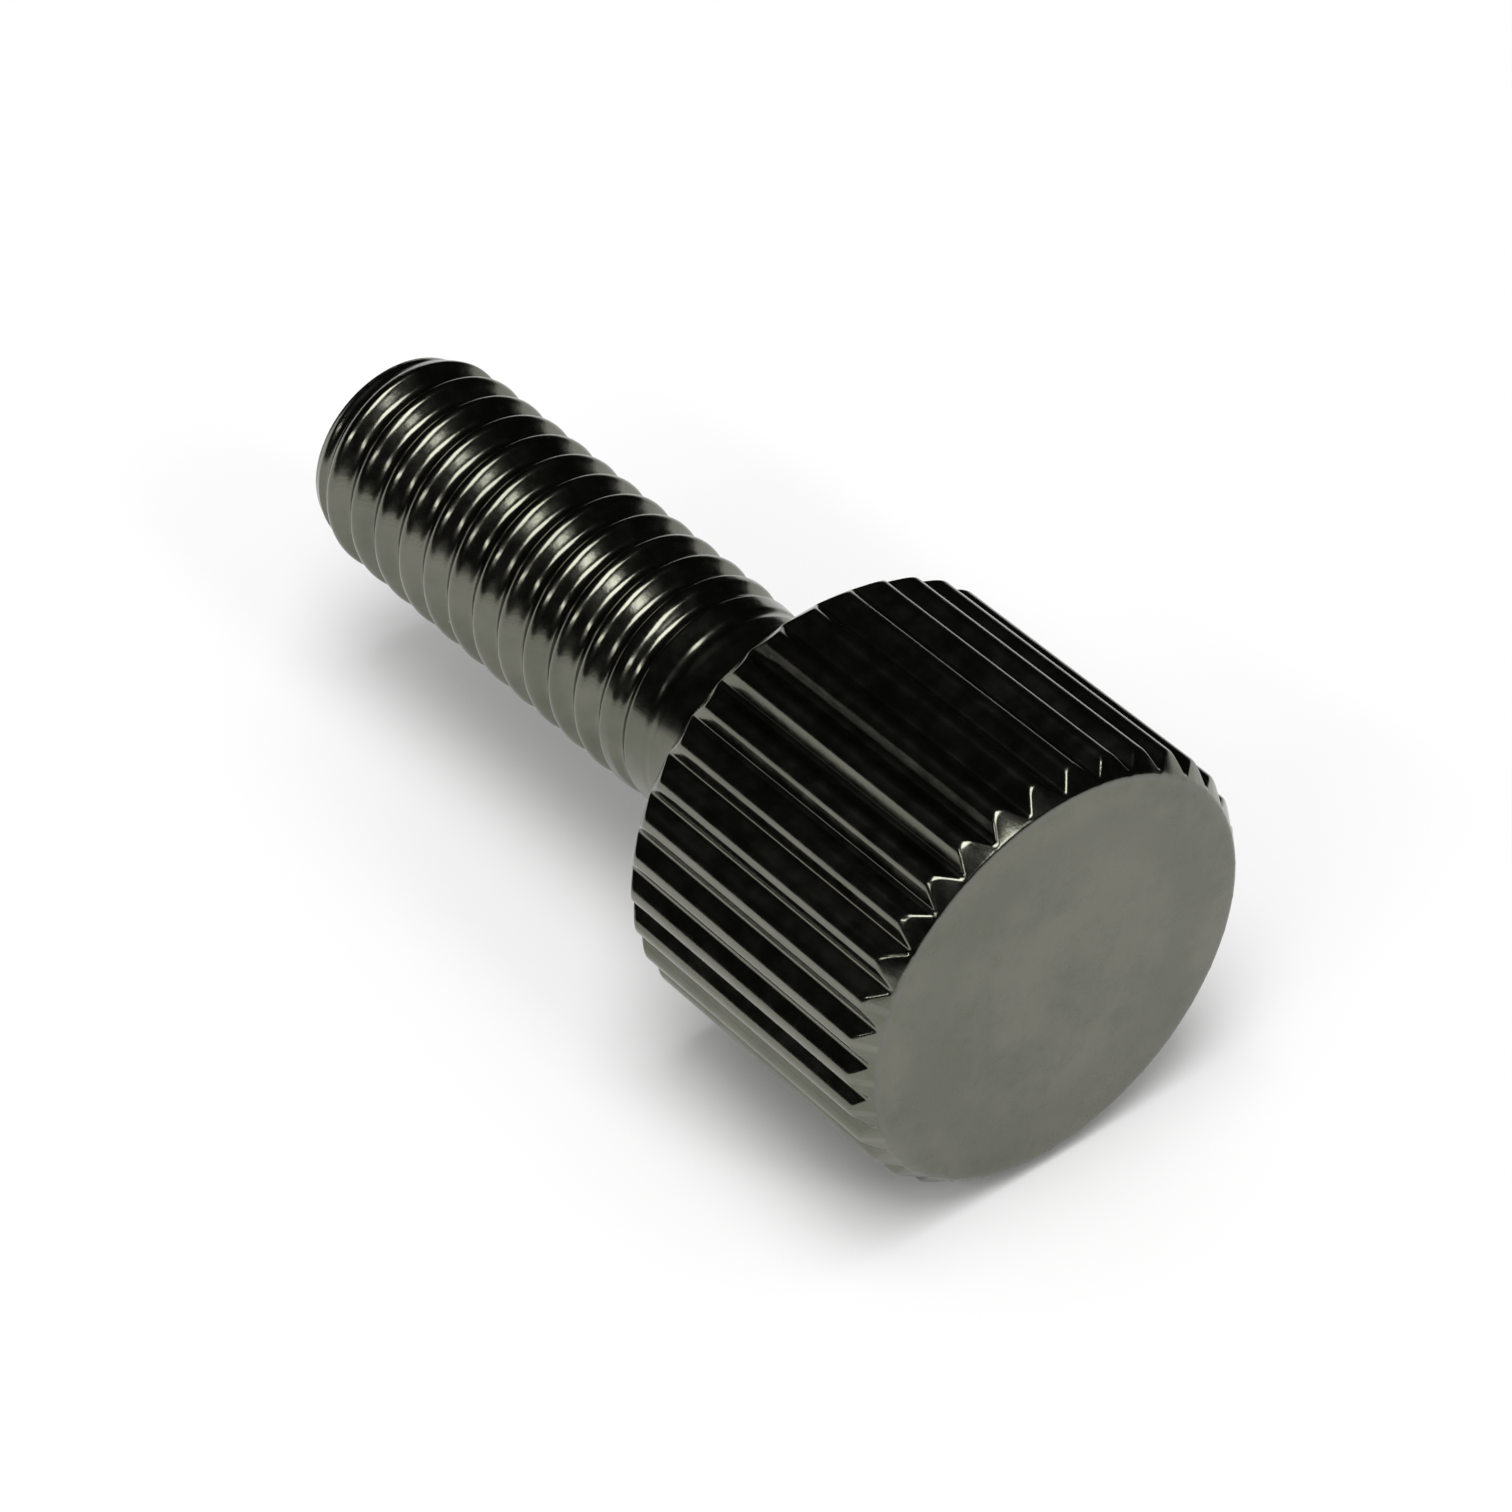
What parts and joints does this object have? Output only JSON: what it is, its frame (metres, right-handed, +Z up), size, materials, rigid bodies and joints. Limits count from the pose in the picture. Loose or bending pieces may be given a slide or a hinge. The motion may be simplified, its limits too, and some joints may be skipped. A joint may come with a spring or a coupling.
{
  "type": "thumb screw",
  "caption": "Thumb screw: a straight-knurled cylindrical head with chamfered ends on a short threaded shank with a plain neck and a tapered tip.",
  "frame": {"origin": "on the screw's axis, in the plane of the flat seat under the head", "axes": "+X along the screw's axis from the tip to the head's flat face, +Z up with the screw lying on its knurled head, axis level"},
  "size_m": [0.0175, 0.008, 0.008],
  "materials": {
    "plated_steel": "bright dark nickel plate"
  },
  "bodies": {
    "root": {"thumb_screw": "plated_steel"}
  },
  "joints": []
}
